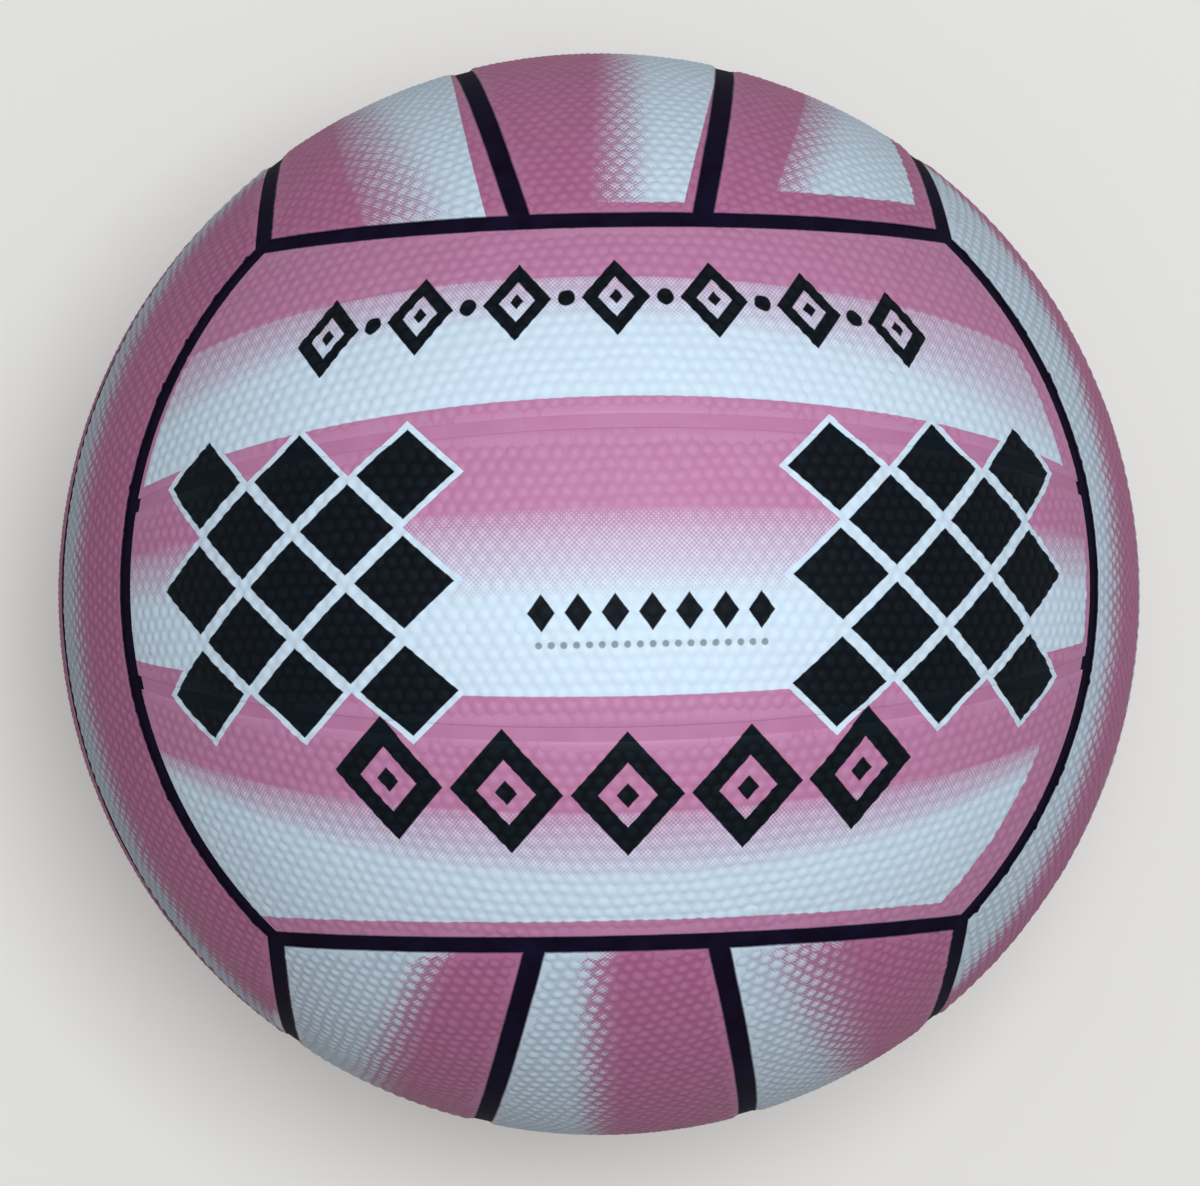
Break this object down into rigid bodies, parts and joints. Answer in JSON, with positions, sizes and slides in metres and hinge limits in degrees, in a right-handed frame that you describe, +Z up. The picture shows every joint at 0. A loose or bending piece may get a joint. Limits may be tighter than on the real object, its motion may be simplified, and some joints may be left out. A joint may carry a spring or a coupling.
{
  "type": "netball",
  "caption": "Moulded rubber netball with pebble-grained printed panels, black channel seams, nylon-wound carcass, butyl bladder and needle valve.",
  "frame": {"origin": "centre of the ball", "axes": "+Z up through the crown face, the printed face that the picture looks down on; +X east and +Y north, to the right and to the top of the picture; the valve opens along -Z through the base face"},
  "size_m": [0.2228, 0.2228, 0.2228],
  "materials": {
    "cover_rubber": "satin",
    "plain_channel": "satin",
    "black_channel": "satin",
    "carcass_rubber": "matte",
    "nylon_thread": "matte",
    "butyl_rubber": "satin",
    "valve_rubber": "matte"
  },
  "bodies": {
    "root": {"crown_panel_north": "cover_rubber", "crown_panel_middle": "cover_rubber", "crown_panel_south": "cover_rubber", "base_panel_north": "cover_rubber", "base_panel_middle": "cover_rubber", "base_panel_south": "cover_rubber", "north_panel_east": "cover_rubber", "north_panel_middle": "cover_rubber", "north_panel_west": "cover_rubber", "south_panel_east": "cover_rubber", "south_panel_middle": "cover_rubber", "south_panel_west": "cover_rubber", "east_panel_upper": "cover_rubber", "east_panel_middle": "cover_rubber", "east_panel_lower": "cover_rubber", "west_panel_upper": "cover_rubber", "west_panel_middle": "cover_rubber", "west_panel_lower": "cover_rubber", "face_seam_net": "black_channel", "crown_seam_north": "plain_channel", "crown_seam_south": "plain_channel", "base_seam_north": "plain_channel", "base_seam_south": "plain_channel", "north_seam_east": "black_channel", "north_seam_west": "black_channel", "south_seam_east": "black_channel", "south_seam_west": "black_channel", "east_seam_upper": "black_channel", "east_seam_lower": "black_channel", "west_seam_upper": "black_channel", "west_seam_lower": "black_channel", "carcass": "carcass_rubber", "nylon_winding": "nylon_thread", "bladder": "butyl_rubber", "valve_boss": "valve_rubber", "valve_plug": "valve_rubber"}
  },
  "joints": []
}
